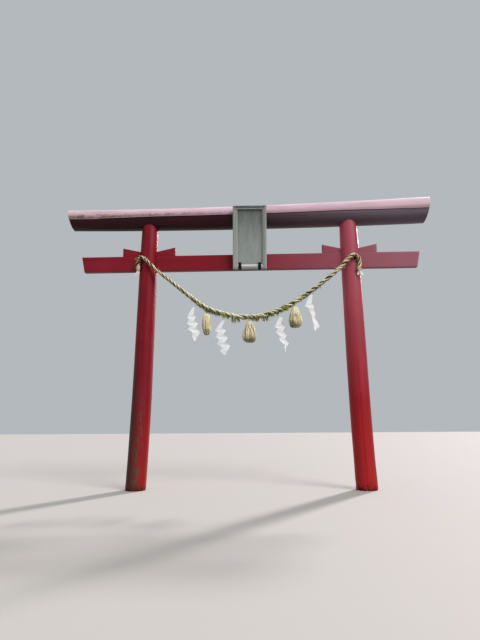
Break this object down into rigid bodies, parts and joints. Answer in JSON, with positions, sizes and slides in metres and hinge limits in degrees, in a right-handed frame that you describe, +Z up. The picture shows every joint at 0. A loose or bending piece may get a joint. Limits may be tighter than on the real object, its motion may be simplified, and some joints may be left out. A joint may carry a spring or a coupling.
{
  "type": "torii gate",
  "caption": "Red wooden gate: two leaning round posts, a wedged tie beam and a log lintel under sheet metal, with a bare framed plaque and a straw rope with tassels and paper streamers",
  "frame": {"origin": "on the ground under the left post, 47 mm from the centre of its foot towards the passage, left as seen from the plaque side", "axes": "+X from the left post to the right post, +Y away from the viewer who faces the plaque, +Z up"},
  "size_m": [6.3452, 0.5502, 4.8943],
  "materials": {
    "red_paint": "matt red paint on round timber, worn and dirty",
    "red_sheet": "faded red painted sheet metal, dirt along its hem",
    "plaque_wood": "grey-green weathered paint on planed boards",
    "iron": "black painted forged iron",
    "straw": "twisted rice straw, bleached above and mossy below",
    "white_cord": "white cord",
    "paper": "folded white paper"
  },
  "bodies": {
    "root": {"cap_sheet_left": "red_sheet", "cap_sheet_middle": "red_sheet", "cap_sheet_right": "red_sheet", "gakuzuka_strut": "red_paint", "kasagi_log": "red_paint", "nuki_beam": "red_paint", "plaque_hanger_left": "iron", "plaque_hanger_right": "iron", "plaque_panel": "plaque_wood", "plaque_rail_bottom": "plaque_wood", "plaque_rail_left": "plaque_wood", "plaque_rail_right": "plaque_wood", "plaque_rail_top": "plaque_wood", "plaque_strap_left": "iron", "plaque_strap_right": "iron", "post_left": "red_paint", "post_right": "red_paint", "rope": "straw", "rope_hook_left": "iron", "rope_hook_right": "iron", "rope_tie_left": "white_cord", "rope_tie_right": "white_cord", "shide_1": "paper", "shide_2": "paper", "shide_3": "paper", "shide_4": "paper", "tassel_left": "straw", "tassel_middle": "straw", "tassel_right": "straw", "wedge_left_inner": "red_paint", "wedge_left_outer": "red_paint", "wedge_right_inner": "red_paint", "wedge_right_outer": "red_paint"}
  },
  "joints": []
}
